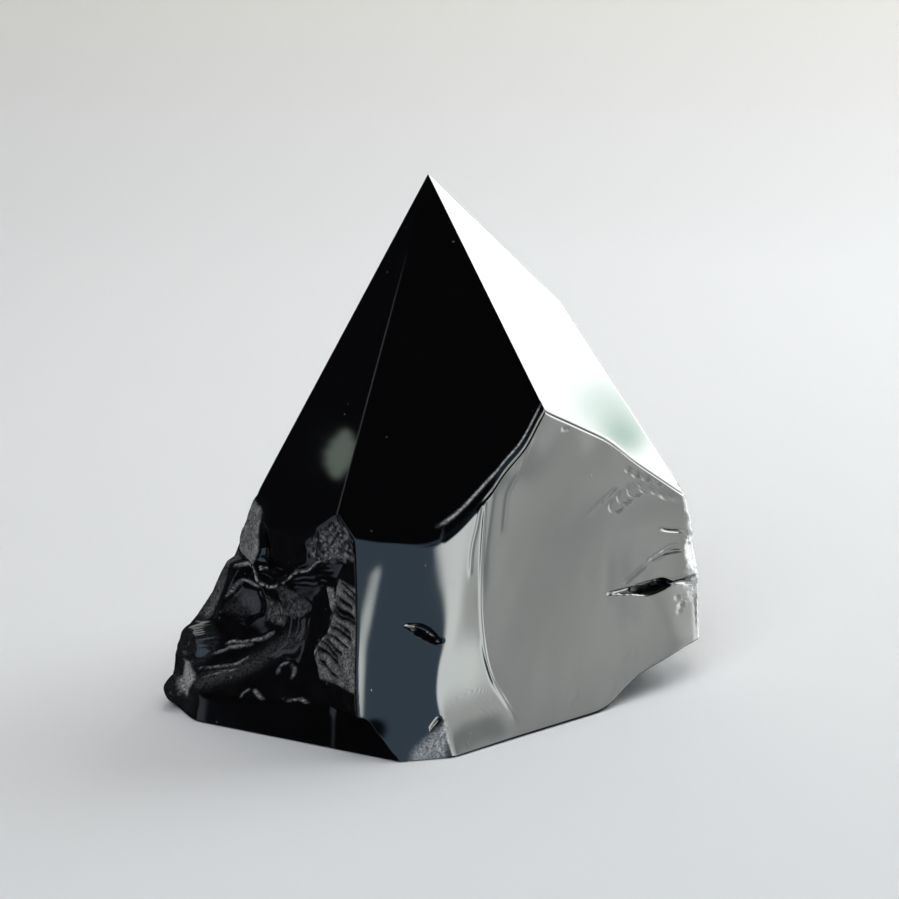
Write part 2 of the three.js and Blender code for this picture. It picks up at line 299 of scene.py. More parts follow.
# Hollows left by flakes: a point, azimuth, elevation, radius, depth.
LEFT_SCARS = (
    ((-27.6, -18.2, 15), -50, 14, 9, 2.6),
    ((-19, -22, 17), -35, 4, 7, 0.8),
)
BACK_SCARS = (
    ((-34, 12, 14), -110, 14, 12, 2),
    ((-18, 26, 20), -150, 14, 13, 2.6),
    ((8, 33, 12), 175, 8, 11, 2.2),
    ((24, 24, 24), 135, 16, 13, 2.8),
    ((38, 12, 12), 100, 4, 9, 2),
    ((38.9, 1.5, 21), 84, 4, 2.6, 0.9),
)
# The left side below a crooked ridge stands proud: the ridge's height and its overhang, both as
# (distance along the side, value), and two lumps at its foot as (centre, radius).
LEFT_SIDE = -50
RIDGE = (
    (-24, 21.5), (-17, 22.4), (-11, 22.8), (-9.6, 20.2), (-6.7, 20.3), (-3.7, 22.3), (1, 25), (4, 27),
    (6.3, 28.6), (9, 31),
)
BULGE = ((-20, 1.8), (-9, 1.7), (-3, 0.9), (4, 0.5), (9, 0.2))
LUMPS = (((-38.7, -10, 9.4), 3.5), ((-41.6, -12, 3), 2.5))

# The front is one sheet folded along two lines, with a hollow flute left of them, as (height, x).
FOLD = ((0, 1.2), (3.3, 0), (8.5, -1.5), (12.5, -1.4), (17, -0.3), (23, 0.9), (30.5, -0.4), (40, -1))
ARRIS = ((0, 11.3), (6.2, 8.75), (11.3, 6.5), (16, 5.3), (22, 5.2), (30, 6), (41, 7.5))
FLUTE = ((4, -11.4), (12, -11.1), (16.5, -10.8), (23.6, -9.4), (29.3, -8))
FLUTE_WIDTH, FLUTE_DEPTH, FLUTE_DEPTH_ABOVE = 2.8, 0.66, 0.56  # the last above a height of about 20
LEFT_TURN, RIGHT_TURN = 0.19, 0.715  # how far each end of the sheet runs back, per mm to the right
# Soft dishes of the sheet, which swell where the depth is below zero: depth, middle in x and height,
# widths in x and height.
DISHES = ((0.9, 22, 20, 11, 14), (-0.8, 14.5, 49, 6, 6), (0.4, 25, 41, 4, 4), (-0.5, 11.5, 43, 3.5, 4))

# Edges round the stone, as (azimuth, height): the lower edge, and the line of the ledge.
LOWER_EDGE = (
    (50, 0.2), (56, 0.3), (60, 0.9), (65, 2.6), (70, 4.1), (77, 5.4), (84, 6.8), (96, 7),
    (108, 5.6), (120, 2.4), (130, 0.2),
)
LEDGE = (
    (-180, 9), (-110, 8), (-85, 4.5), (-68, 4.5), (-55, 4.6), (-38, 5.6), (-22, 6.3), (-15.4, 6.2),
    (-11, 3.4), (-6.6, 0.5), (-3, 2.2), (8, 8), (60, 12), (90, 13), (130, 10), (180, 9),
)

BEVEL = 0.25  # rounding where the rough part meets the facets
BAND = 0.12  # depth of the hand-ground band along the right-hand lower edge of the front facet
BASE_INSET, INSET_PER_MM = 0.3, 1.5  # mm inside the lower edge, and more for each mm that it rises


def within(v, low, high, ease_low, ease_high):
    """1 between two values and 0 outside them, eased over a width inside each."""
    return smooth(v - low, 0, ease_low) * smooth(high - v, 0, ease_high)


def away(p, azimuth, elevation, on_face):
    """Distance of points from the flat face through a point, positive outside."""
    n = direction(azimuth, elevation)
    return p @ n - n @ np.array(on_face, float)


def larger(a, b, k):
    """The larger of two distances, with the corner between them rounded over a width k."""
    h = np.maximum(k - np.abs(a - b), 0) / k
    return np.maximum(a, b) + h**3 * k / 6


def smaller(a, b, k):
    """The smaller of two distances, with the corner between them rounded over a width k."""
    return -larger(-a, -b, k)


def cut(p, out, faces):
    """A body cut back to flat faces, each edge rounded."""
    for azimuth, elevation, on_face, rounding in faces:
        out = larger(out, away(p, azimuth, elevation, on_face), rounding)
    return out


def scar(p, on_face, azimuth, elevation, radius, depth):
    """A sphere that leaves a round hollow of the given radius and depth."""
    sphere = (radius**2 + depth**2) / (2 * depth)
    centre = np.array(on_face, float) + (sphere - depth) * direction(azimuth, elevation)
    return sphere - np.linalg.norm(p - centre, axis=-1)


def curve(points, key):
    """A smooth curve through (key, value) points, flat beyond its ends (a cubic between each pair)."""
    x, v = np.array(points, float).T
    k = np.clip(key, x[0], x[-1])
    i = np.clip(np.searchsorted(x, k) - 1, 0, len(x) - 2)
    low = np.maximum(np.arange(len(x)) - 1, 0)
    high = np.minimum(np.arange(len(x)) + 1, len(x) - 1)
    slope = (v[high] - v[low]) / (x[high] - x[low])
    h = x[i + 1] - x[i]
    u = (k - x[i]) / h
    rise = v[i] * (2 * u**3 - 3 * u**2 + 1) + v[i + 1] * (3 * u**2 - 2 * u**3)
    return rise + h * (slope[i] * (u**3 - 2 * u**2 + u) + slope[i + 1] * (u**3 - u**2))


def hump(distance, width):
    """1 at a distance of nothing, falling as a bell on both sides: exp(-(distance / width)^2)."""
    return np.exp(-((distance / width) ** 2))


def swell(x, z, at_x, at_z, wide_x, wide_z):
    """A soft bump of height 1."""
    return hump(x - at_x, wide_x) * hump(z - at_z, wide_z)


def bend(x, width):
    """0 on one side and rising with slope 1 on the other, rounded over a width."""
    return width * np.logaddexp(0, x / width)


def azimuth_of(p):
    """Azimuth of points as seen from the upright line through the apex."""
    return np.degrees(np.arctan2(p[..., 0] - APEX[0], APEX[1] - p[..., 1]))


def side_of(p):
    """Distance along the left side, level and square to its azimuth."""
    a = np.radians(LEFT_SIDE)
    return p[..., 0] * np.cos(a) + p[..., 1] * np.sin(a)


def front_y(x, z):
    """Y of the sheet's left end, which is hollow near its foot."""
    return -24.5 + LEFT_TURN * (x + 7) + 0.277 * (z - 31) + 0.8 * hump(z - 10, 8)


def right_y(x, z):
    """Y of the sheet's right end."""
    return -8.3 + RIGHT_TURN * (x - 23.3) + 0.25 * (z - 27.8)


def front_sheet(p):
    """How far points lie outside the front: its two ends, the strip that joins them, the dishes and
    the flute."""
    x, y, z = np.moveaxis(p, -1, 0)
    arris, fold = curve(ARRIS, z), curve(FOLD, z)
    strip_turn = (right_y(arris, z) - front_y(fold, z)) / (arris - fold)
    rounding = 0.25 + 2.2 * smooth(z, 12, 30)
    sheet = right_y(x, z) + (RIGHT_TURN - strip_turn) * bend(arris - x, 0.2)
    sheet += (strip_turn - LEFT_TURN) * bend(fold - x, rounding)
    for depth, *place in DISHES:
        sheet += depth * swell(x, z, *place)
    flute_depth = FLUTE_DEPTH + (FLUTE_DEPTH_ABOVE - FLUTE_DEPTH) * smooth(z, 14, 26)
    sheet += flute_depth * hump(x - curve(FLUTE, z), FLUTE_WIDTH) * within(z, 2, 32, 5, 5)
    return 0.8 * (sheet - y)


def lump(p):
    """How far points lie outside the broken lump, below zero inside. The last number of each larger
    and smaller is the rounding of the edge it makes."""
    z = p[..., 2]
    ledge_face = away(p, *LEDGE_FACE)
    above = z - curve(LEDGE, azimuth_of(p))
    front = np.maximum(front_sheet(p), np.minimum(ledge_face, -above))

    left = cut(p, away(p, *LEFT_FACE), LEFT_FACES)
    side = side_of(p)
    proud = larger(left - curve(BULGE, side), 0.8 * (z - curve(RIDGE, side)), 0.3)
    left = smaller(left, proud, 0.3)
    for hollow in LEFT_SCARS:
        left = larger(left, scar(p, *hollow), 0.3)

    ledge = larger(ledge_face, away(p, *LEDGE_END), 1.5)
    ledge = larger(ledge, 0.6 * above + 0.8 * ledge_face, 1.5)
    step = away(p, *STEP_FACE) + STEP_LEAN * (z - STEP_PIVOT) * smooth(STEP_TOP - z, 0, 2.5)
    out = larger(front, smaller(step, smaller(left, ledge, 0.8), 0.5), 0.4)
    out = larger(out, away(p, *LEFT_END) - LEFT_END_SWELL * smooth(LEFT_END_SHOULDER - z, 0, 6), 0.8)
    out = cut(p, out, SIDE_FACES)
    for centre, radius in LUMPS:
        out = smaller(out, np.linalg.norm(p - np.array(centre), axis=-1) - radius, 0.6)
    for hollow in BACK_SCARS:
        out = larger(out, scar(p, *hollow), 0.4)
    return out


def facets(p):
    """How far points lie outside the polished facets."""
    apex_facets = [away(p, *facet, APEX) for facet in APEX_FACETS]
    return np.maximum.reduce([*apex_facets, away(p, *LOW_FACET, SHOULDER)])


def worn(p):
    """The whole stone, with the meeting of rough and polished parts rounded over BEVEL, and a narrow
    polished band between them under the front facet's right-hand edge."""
    rough, polished = lump(p), facets(p)
    share = within(azimuth_of(p), -2, 56, 8, 5)
    band = 0.7 * polished + 0.3 * rough + BAND * share - 0.5 * (1 - share)
    return np.maximum(larger(rough, polished, BEVEL), band)


# The surface is found on a grid of upright columns round the axis and rows that follow the edges.
# Columns stand closest where the marks are finest: (azimuth where a span ends, spacing), degrees.
SPANS = ((-100, 2.1), (-62, 0.5), (-14, 0.36), (3, 0.46), (24, 0.25), (95, 0.43), (180, 2.1))
FOOT_ROWS, MAIN_ROWS, RIM_ROWS = 26, 118, 20  # to the ledge, to just under the rim, over the rim
RIM_BELOW = 0.8  # mm under the rim from which the rows stand close
TOP_ROW_ABOVE = 0.15  # mm from where the facets come clear of the rim to the top row, which lies on them
NEAREST, FARTHEST = 1.0, 80.0  # mm from the axis between which the surface is sought


def last_true(test, low, high):
    """Halves every span until it closes on the value where the test turns from true to false."""
    for _ in range(30):
        middle = (low + high) / 2
        true = test(middle)
        low, high = np.where(true, middle, low), np.where(true, high, middle)
    return (low + high) / 2


def column_point(angle, r, z):
    """The point at an angle (radians of azimuth), a distance from the axis and a height."""
    x, y = APEX[0] + r * np.sin(angle), APEX[1] - r * np.cos(angle)
    return np.stack(np.broadcast_arrays(x, y, z), -1)


def reach(solid, angle, z):
    """Distance from the axis to the surface of a solid, at each angle and height."""
    shape = np.broadcast(angle, z).shape
    low, high = np.full(shape, NEAREST), np.full(shape, FARTHEST)
    return last_true(lambda r: solid(column_point(angle, r, z)) < 0, low, high)


def down_edge(first, second):
    """The downward direction of the edge in which two facets meet."""
    along = np.cross(direction(*first), direction(*second))
    return -along if along[2] > 0 else along


def apex_corner(first, second):
    """Angle about the axis of the edge between two facets that share the apex."""
    along = down_edge(first, second)
    return np.arctan2(along[0], -along[1])


def low_corner(other):
    """Angle at which an edge of the low facet, starting at the shoulder, reaches the rough part."""
    along = down_edge(LOW_FACET, other)
    t = last_true(lambda t: lump((SHOULDER + t * along)[None])[0] < 0, np.array(0.0), np.array(60.0))
    end = SHOULDER + t * along
    return np.arctan2(end[0] - APEX[0], APEX[1] - end[1])


def rows_between(low, high, count):
    return low + (high - low) * np.linspace(0, 1, count)[:, None]


# A column stands on each corner of the facets, so that the polished edges stay sharp.
neighbours = list(zip(APEX_FACETS, APEX_FACETS[1:] + APEX_FACETS[:1]))
apex_corners = [apex_corner(a, b) for a, b in neighbours if a != BEFORE_LOW]
low_corners = [low_corner(BEFORE_LOW), low_corner(AFTER_LOW)]
corners = np.sort(np.array(apex_corners + low_corners))

ends = np.unique(np.concatenate((corners, np.radians([end for end, _ in SPANS[:-1]]))))
ends = np.append(ends, ends[0] + 2 * np.pi)
angles = []
for low, high in zip(ends, ends[1:]):
    middle = np.degrees((low + high) / 2)
    middle = middle - 360 * (middle > 180)
    spacing = np.radians(next(spacing for end, spacing in SPANS if middle < end))
    count = max(2, int(np.ceil((high - low) / spacing)))
    angles.append(np.linspace(low, high, count, endpoint=False))
angles = np.concatenate(angles)
degrees = np.degrees(np.arctan2(np.sin(angles), np.cos(angles)))


def lump_on_facets(z):
    """How far the facets' surface lies outside the lump, at a height in each column."""
    return lump(column_point(angles, reach(facets, angles, z), z))


edge, ledge = curve(LOWER_EDGE, degrees), curve(LEDGE, degrees)
top_limit = np.full(len(angles), 75.0)
rim = last_true(lambda z: lump_on_facets(z) > 0, np.full(len(angles), 4.0), top_limit)
clear = last_true(lambda z: lump_on_facets(z) > -0.5, rim, top_limit)
heights = np.concatenate(
    (
        rows_between(edge, ledge - 0.05, FOOT_ROWS),
        rows_between(ledge + 0.05, rim - RIM_BELOW, MAIN_ROWS),
        rows_between(rim - RIM_BELOW, clear + 0.02, RIM_ROWS)[1:],
        (clear + TOP_ROW_ABOVE)[None],
    )
)
radii = reach(worn, angles[None, :], heights)
smooth_surface = column_point(angles[None, :], radii, heights)

# The fine marks of the break, as height over the surface in mm. Those of the front lie on
# (x, height), and those of the left side on (distance along the side, height).
# Ridges of the front, and cuts where the height is below zero: path, width, height.
FRONT_LINES = (
    (((6, 38.9), (5.2, 36.4), (4.5, 32.9), (3.7, 29.4), (3.4, 24.9)), 0.28, 0.06),
    (((6, 38.9), (5.5, 33.4), (5.1, 27.4), (5.1, 20.2), (5.7, 14.4), (6.8, 9.7), (8.7, 6.2), (11.1, 1.9)),
     0.24, 0.075),
    (((5.1, 16.8), (5.8, 12.9), (7.5, 8.5), (10.6, 2.5)), 0.24, 0.05),
    (((13.7, 45.5), (12.2, 42.7), (11, 39.7), (9.8, 37.7), (9, 35.7), (8.4, 29.9)), 0.3, 0.03),
    (((21.5, 30.2), (24.1, 32.1), (26.5, 33.7)), 0.12, -0.07),
    (((27.4, 18.6), (29.5, 19.6), (31, 20.6)), 0.14, -0.14),
    (((33.6, 21.8), (35, 22.3), (36.4, 22.5)), 0.16, -0.2),
    (((33.6, 25.5), (35.1, 24.9), (37.4, 24.3)), 0.18, -0.25),
    (((35, 16.6), (37.3, 16.5), (39.8, 15.6)), 0.2, -0.35),
    (((17.4, 44.3), (18.8, 44)), 0.14, -0.1),
    (((-2.3, 4.2), (-0.9, 5.8)), 0.4, -0.4),
)
# Chips: upper edge, lower edge, depth.
CHIPS = (
    (((24.4, 17.6), (26.4, 17.6), (29, 17.7), (31.5, 17.9), (34.2, 17.8), (35.6, 16.7)),
     ((24.4, 17.5), (26.4, 17.1), (29, 16.5), (31.5, 15.8), (34, 16), (35.6, 16.5)), 2.4),
    (((31, 20.8), (32.7, 21.6), (33.8, 21.9), (36.2, 21.9), (37.9, 21.2)),
     ((31, 20.6), (32.7, 20.8), (34.3, 21.2), (36.2, 21.1), (37.9, 21)), 0.5),
    (((-8.2, 20.4), (-6.2, 19.9), (-4, 19.7), (-2.5, 18.9), (-1.1, 17.4), (-0.2, 16.9)),
     ((-8.2, 20.3), (-6.2, 19.4), (-4.8, 18.3), (-3.3, 17.3), (-1.7, 16.6), (-0.2, 16.8)), 1.0),
)
# Overlapping flakes under the right-hand facet, and round pits: x, height, radius.
FLAKES = (
    (26.2, 30.8, 1.3), (27.6, 31.9, 1.4), (29.3, 32.7, 1.5), (31.2, 32.9, 1.5), (33, 32.2, 1.4),
    (34.6, 31, 1.3), (28.3, 35.9, 0.8), (29.6, 35, 0.9), (31.2, 34.1, 0.9), (33, 33.1, 0.9),
    (35.6, 30.2, 0.8),
)
FLAKE_DEPTH = 0.12
PITS = (
    (36.6, 14.2, 0.3), (37.3, 12.9, 0.42), (36.9, 12.1, 0.26),
    (-11, 10.2, 0.24), (-5.8, 9.1, 0.2), (6, 38.6, 0.3),
)
# Patches of ripples on the broad face: strength, middle in x and height, widths in x and height.
RIPPLES = ((1, 27.5, 6.5, 2.2, 5), (0.7, 19.8, 5, 1.3, 5), (0.6, 16, 2, 1.2, 2))
RIPPLE_HEIGHT, RIPPLE_RADIANS_PER_MM = 0.012, 6
# Fine hackles among the flakes, as middle and widths in x and height.
HACKLES = (31, 31.6, 5, 2)
HACKLE_HEIGHT, HACKLE_RADIANS_PER_MM = 0.008, 9
# Two faint creases of the broad face: the lower as (height, x), with how much the face turns there
# and where it ends, and the upper one as x at a height, how it leans, and how much the face turns.
CREASE = ((7.6, 36.4), (10, 35.1), (12.9, 33.9), (15, 32.7), (17, 31))
CREASE_TURN, CREASE_TOP = 0.08, 17.5
UPPER_X, UPPER_HEIGHT, UPPER_LEAN, UPPER_TURN = 18.5, 30.4, 0.47, 0.012

# Ridges of the left side: path, width, height, and how frosted the crest is.
LEFT_LINES = (
    (((-13.7, 22.9), (-10, 23.2), (-8.7, 22.7), (-8.3, 21), (-4.8, 21.1), (-3.5, 22)), 0.3, 0.3, 1),
    (((-3.5, 22), (-1.1, 23.9), (0.8, 25.2), (3.8, 27.3), (7.5, 30.5)), 0.25, 0.2, 0.6),
    (((-14.2, 17.4), (-13.4, 18.2), (-11.1, 20.7), (-8.4, 20.2)), 0.22, 0.2, 0.7),
    (((-12.5, 10.8), (-10.7, 11), (-9.2, 11.4), (-6.9, 12.5), (-4.9, 13.9)), 0.3, 0.3, 0.6),
    (((-14.2, 9.3), (-12.6, 9.8), (-9.9, 10.5), (-8.2, 11.2)), 0.3, 0.25, 0.35),
    (((-13.7, 7.3), (-10.2, 8.4), (-7.3, 10.2)), 0.3, 0.25, 0.35),
    (((-12.4, 6), (-10, 7.1), (-8.1, 8.4)), 0.25, 0.2, 0.3),
    (((1, 6.4), (3, 6.1), (5.4, 6), (7.7, 6.2)), 0.22, 0.25, 0.6),
    (((-3.5, 6.6), (-2.2, 5.9), (-0.8, 5.1)), 0.25, 0.25, 0.6),
    (((-5.4, 4.5), (-4.6, 5.7), (-3.8, 6.3)), 0.25, 0.2, 0.4),
    (((-1, 8.7), (-1.6, 9.7), (-0.6, 10.4), (0.8, 9.4), (1.1, 8.1)), 0.3, 0.25, 0.3),
    (((-14.4, 10.4), (-14.3, 11.3), (-16, 12.6)), 0.25, 0.2, 0.6),
    (((7.3, 20.4), (7.1, 18), (5.6, 15.2), (4.5, 13.1), (5.2, 11.6), (6.3, 9.3)), 0.22, 0.15, 0.7),
)
# A curved band across the side, between two edges, in shelves: share of its width, height.
BAND_OUTER = np.array((
    (2.4, 20.7), (2, 18.2), (1.2, 15.7), (-0.6, 13.1), (-3.6, 10.4), (-6.3, 8), (-9.1, 6.1),
    (-11.9, 4.9),
))
BAND_INNER = np.array((
    (0.8, 19.1), (0.2, 16.7), (-1.3, 14.1), (-4.2, 12.1), (-7.7, 9.6), (-9.5, 8.1), (-10.4, 7.6),
    (-12.4, 5.6),
))
SHELVES = ((0, 0.35), (0.25, 0.1), (0.6, 0.06), (1, 0.25))
# Small faces and patches of the side, as outlines.
DARK_FACET = (
    (-8.4, 20.2), (-11.2, 20.5), (-15.6, 15.6), (-15, 15), (-10.2, 13.8), (-7.3, 15.8), (-7.3, 18.2),
)
BLOCK = ((-10.5, 30.6), (-8.8, 24.6), (-7.8, 23.2), (-4.1, 22.4), (-0.4, 25), (1.7, 27.4), (2, 30.6))
LIGHT_GRAINS = ((-7.4, 19.3), (-6.9, 15.6), (-5.2, 14.9), (-2.5, 15.1), (-1, 17.6), (-3.8, 18.6))
DARK_GRAINS = ((-4.6, 20.6), (-3.4, 18.6), (-1, 17.6), (1.4, 18.1), (1.8, 20.5), (-2.6, 22.2))
SPECKLED = ((2, 30.3), (2.4, 28.4), (5.5, 28), (10.9, 29.6), (11.2, 31.7), (8.3, 35.4))
BRIGHT_FACET = ((5.4, 23.6), (6.4, 21.3), (7.5, 20.4), (7.9, 22), (7, 23.8))
LIGHT_PATCH = ((5.2, 11.6), (6.2, 9.7), (9.3, 10.5), (11, 12.5), (9.2, 13.1))
SLIVER = ((-18.9, 7.9), (-16.4, 4.8), (-15.6, 0.8), (-14.7, 2.7), (-12.5, 5.2), (-13.8, 6.7), (-16.6, 8.2))
END_FACET = ((-18.6, 27.7), (-16.2, 24), (-9.8, 23.4), (-8.9, 24.6), (-10.8, 31.4), (-15.8, 32.4))
# Which of them stand proud: outline, where the rise starts and ends inside it, height.
RAISED = (
    (DARK_FACET, -0.2, 0.9, 0.45),
    (BRIGHT_FACET, 0, 0.2, 0.3),
    (LIGHT_PATCH, 0, 0.25, 0.25),
    (END_FACET, 0, 0.3, 0.3),
)
# Which of them are grainy: outline, where the grain starts outside it, depth, grain size, seed.
GRAINY = (
    (DARK_GRAINS, 0.4, 0.35, 0.55, 16),
    (SPECKLED, 0.4, 0.35, 0.55, 16),
    (LIGHT_GRAINS, 0.4, 0.2, 0.45, 7),
    (END_FACET, 0.2, 0.2, 0.7, 17),
)
# Slanting cuts, one over the other, right of an edge given as (height, distance along the side).
COMB_EDGE = ((9.7, 6.2), (11.6, 5.2), (13.1, 4.6), (15.2, 5.6), (18, 7.1), (20.4, 7.4), (24, 7.6), (26, 8))
COMB_TOP, COMB_FOOT, COMB_COUNT, COMB_DEPTH, COMB_SEED = 25.4, 12.4, 12, 0.35, 21

# A fine groove under the rim of the facets, in the front and right.
GROOVE_BELOW_RIM, GROOVE_WIDTH, GROOVE_DEPTH = 0.3, 0.16, 0.16

NOISE_CELLS = (97, 89)  # after which the noise repeats
MM_PER_DEGREE = 0.7  # round the stone, at its foot


def flow(path):
    """A smooth line through a few points."""
    path = np.array(path, float)
    keys = np.arange(len(path))
    fine = np.linspace(0, len(path) - 1, 6 * len(path))
    return np.stack([curve(tuple(zip(keys, path[:, i])), fine) for i in (0, 1)], -1)


def along(u, v, path):
    """Distance from a line, positive on its left, and how far along it the nearest point lies, from 0
    to 1."""
    line = flow(path)
    lengths = np.linalg.norm(np.diff(line, axis=0), axis=1)
    walked = np.concatenate(([0], np.cumsum(lengths)))
    best, far, t = np.full(u.shape, 1e9), np.full(u.shape, 1e9), np.zeros(u.shape)
    for (au, av), (bu, bv), length, before in zip(line, line[1:], lengths, walked):
        du, dv = (bu - au) / length, (bv - av) / length
        w = np.clip((u - au) * du + (v - av) * dv, 0, length)
        pu, pv = u - au - w * du, v - av - w * dv
        gap = np.hypot(pu, pv)
        closer = gap < best
        best = np.where(closer, gap, best)
        far = np.where(closer, np.where(du * pv - dv * pu < 0, -gap, gap), far)
        t = np.where(closer, (before + w) / walked[-1], t)
    return far, t


def line_ridge(u, v, path, width, height):
    """A thin ridge (or groove, if height is below 0) along a line, fading at both ends."""
    far, t = along(u, v, path)
    return height * hump(far, width) * within(t, 0, 1, 0.15, 0.15)


def shelf(u, v, path, width, height, fade):
    """A step along a line: full height just left of it, sinking back as exp(-distance / fade)."""
    far, t = along(u, v, path)
    rise = smooth(far, 0, width) * np.exp(-(np.maximum(far, 0) / fade))
    return height * rise * within(t, 0, 1, 0.1, 0.1)


def inside(u, v, outline):
    """Distance inside a convex outline given counterclockwise, below zero outside."""
    outline = np.array(outline, float)
    out = np.full(u.shape, 1e9)
    for (au, av), (bu, bv) in zip(outline, np.roll(outline, -1, axis=0)):
        length = np.hypot(bu - au, bv - av)
        out = np.minimum(out, ((bu - au) * (v - av) - (bv - av) * (u - au)) / length)
    return out


def patch(u, v, outline, low, high):
    """1 well inside an outline and 0 outside, eased between two distances inside it."""
    return smooth(inside(u, v, outline), low, high)


def grain(u, v, size, seed):
    """Smooth noise from 0 to 1 with lumps of the given size: random values on a grid, eased between."""
    values = np.random.default_rng(seed).random(NOISE_CELLS)
    u, v = u / size, v / size
    i, j = np.floor(u).astype(int), np.floor(v).astype(int)
    a, b = smooth(u - i, 0, 1), smooth(v - j, 0, 1)
    i, j = i % NOISE_CELLS[0], j % NOISE_CELLS[1]
    after_i, after_j = (i + 1) % NOISE_CELLS[0], (j + 1) % NOISE_CELLS[1]
    low = values[i, j] * (1 - a) + values[after_i, j] * a
    high = values[i, after_j] * (1 - a) + values[after_i, after_j] * a
    return low * (1 - b) + high * b


def uneven(u, v, height, size, seed):
    """Noise of a height, as much below the surface as above it."""
    return height * (grain(u, v, size, seed) - 0.5)


def rings(u, v, centre, spacing, height, distances, bearings):
    """Shell ripples: waves round a centre, between two distances and two bearings (degrees)."""
    r = np.hypot(u - centre[0], v - centre[1])
    bearing = np.degrees(np.arctan2(v - centre[1], u - centre[0]))
    kept = within(r, *distances, spacing, spacing) * within(bearing, *bearings, 12, 12)
    return height * np.sin(2 * np.pi * (r + 0.6 * grain(u, v, 2.5, 4)) / spacing) * kept


def chip(x, z, upper, lower, depth):
    """A chip between two edges: a steep wall under the upper edge and a long slope up to the lower."""
    top, bottom = curve(upper, x), curve(lower, x)
    width = np.maximum(top - bottom, 1e-3)
    v = np.clip((z - bottom) / width, 0, 1)
    ends = within(x, upper[0][0], upper[-1][0], 1, 0.5)
    return -depth * ends * np.minimum(width / 1.6, 1) * np.minimum(v / 0.75, (1 - v) / 0.25)


def flakes(x, z):
    """Depth of the overlapping flakes, each deepest on its lower left and ending in a curved step."""
    deepest = np.zeros(x.shape)
    for u, v, r in FLAKES:
        lean = np.clip(0.35 - (x - u + z - v) / (2 * r), 0, 1)
        deepest = np.maximum(deepest, FLAKE_DEPTH * lean * smooth(r - np.hypot(x - u, z - v), 0, 0.3))
    return deepest


def tip_patch(x, z):
    """Where the foot of the front ridge is bruised and grainy."""
    return within(x, -6.2, 0.6, 1.8, 1.5) * smooth(5.6 + 0.75 * (x + 1) - z, 0, 2)


def front_relief(x, z):
    """Height of the marks on the front scars."""
    h = uneven(x, 0.6 * z, 0.06, 6, 1) + uneven(x, 0.5 * z, 0.02, 2.2, 2)
    for path, width, height in FRONT_LINES:
        h += line_ridge(x, z, path, width, height)
    for upper, lower, depth in CHIPS:
        h += chip(x, z, upper, lower, depth)
    h -= flakes(x, z)
    hackled = np.sin(HACKLE_RADIANS_PER_MM * (x + z) + 4 * grain(x, z, 1.1, 13))
    h += HACKLE_HEIGHT * hackled * swell(x, z, *HACKLES)
    for u, v, r in PITS:
        h -= 0.5 * r * np.clip(1 - (np.hypot(x - u, z - v) / r) ** 2, 0, 1) ** 0.5
    h -= CREASE_TURN * bend(x - curve(CREASE, z), 0.5) * smooth(CREASE_TOP - z, 0, 1.5)
    past_upper = x - UPPER_X - UPPER_LEAN * (z - UPPER_HEIGHT)
    h += UPPER_TURN * bend(past_upper, 0.5) * smooth(z, 26, 34)
    wavy_x = x - 0.1 * z + 3 * grain(x, z, 4, 8) + 1.4 * grain(x, z, 1.7, 9)
    rippled = sum(strength * swell(x, z, *place) for strength, *place in RIPPLES)
    h += RIPPLE_HEIGHT * np.sin(RIPPLE_RADIANS_PER_MM * wavy_x) * rippled
    h += rings(x, z, (0.5, -1), 0.6, 0.012, (3, 11), (35, 100))
    return h + uneven(x, z, 0.12, 0.4, 10) * tip_patch(x, z)


def comb(s, z):
    """Dark slanting cuts between the blocks at the right end of the side, from 0 to 1."""
    cuts = np.zeros(s.shape)
    jitter = np.random.default_rng(COMB_SEED).random((COMB_COUNT, 4))
    for i, (a, b, c, d) in enumerate(jitter):
        level = COMB_TOP + (COMB_FOOT - COMB_TOP) * (i + 0.7 * a) / (COMB_COUNT - 1)
        start = curve(COMB_EDGE, np.array(level)) + 1.6 * b * b
        end = (start + 3 + 2.8 * c, level - 0.7 + 0.6 * d)
        path = ((start - 0.5, level + 0.4), (start + 1.6, level), end)
        cuts = np.maximum(cuts, line_ridge(s, z, path, 0.2 + 0.25 * d, 1.2))
    return cuts


def left_relief(s, z):
    """Height of the marks on the left side."""
    h = uneven(s, z, 0.14, 3.1, 5) + uneven(s, z, 0.03, 0.9, 6)
    for path, width, height, _ in LEFT_LINES:
        h += line_ridge(s, z, path, 0.75 * width, 0.7 * height)
    for share, height in SHELVES:
        h += shelf(s, z, BAND_INNER + share * (BAND_OUTER - BAND_INNER), 0.5, height, 1.1)
    for outline, low, high, height in RAISED:
        h += height * patch(s, z, outline, low, high)
    h += 0.06 * bend(inside(s, z, DARK_FACET), 0.3)
    h -= 0.26 * np.clip(30.4 - z, 0, 8) * patch(s, z, BLOCK, 0, 0.5)
    h -= COMB_DEPTH * comb(s, z)
    feathered = within(s, -2, 7.5, 2, 2) * within(z, 22 + 0.3 * s, 24.6 + 0.5 * s, 0.8, 0.8)
    h += 0.04 * np.sin(6 * (z - 0.25 * s) + 6 * grain(s, z, 1.6, 15)) * feathered
    for outline, start, height, size, seed in GRAINY:
        h += uneven(s, z, height, size, seed) * patch(s, z, outline, -start, 0.3)
    return h


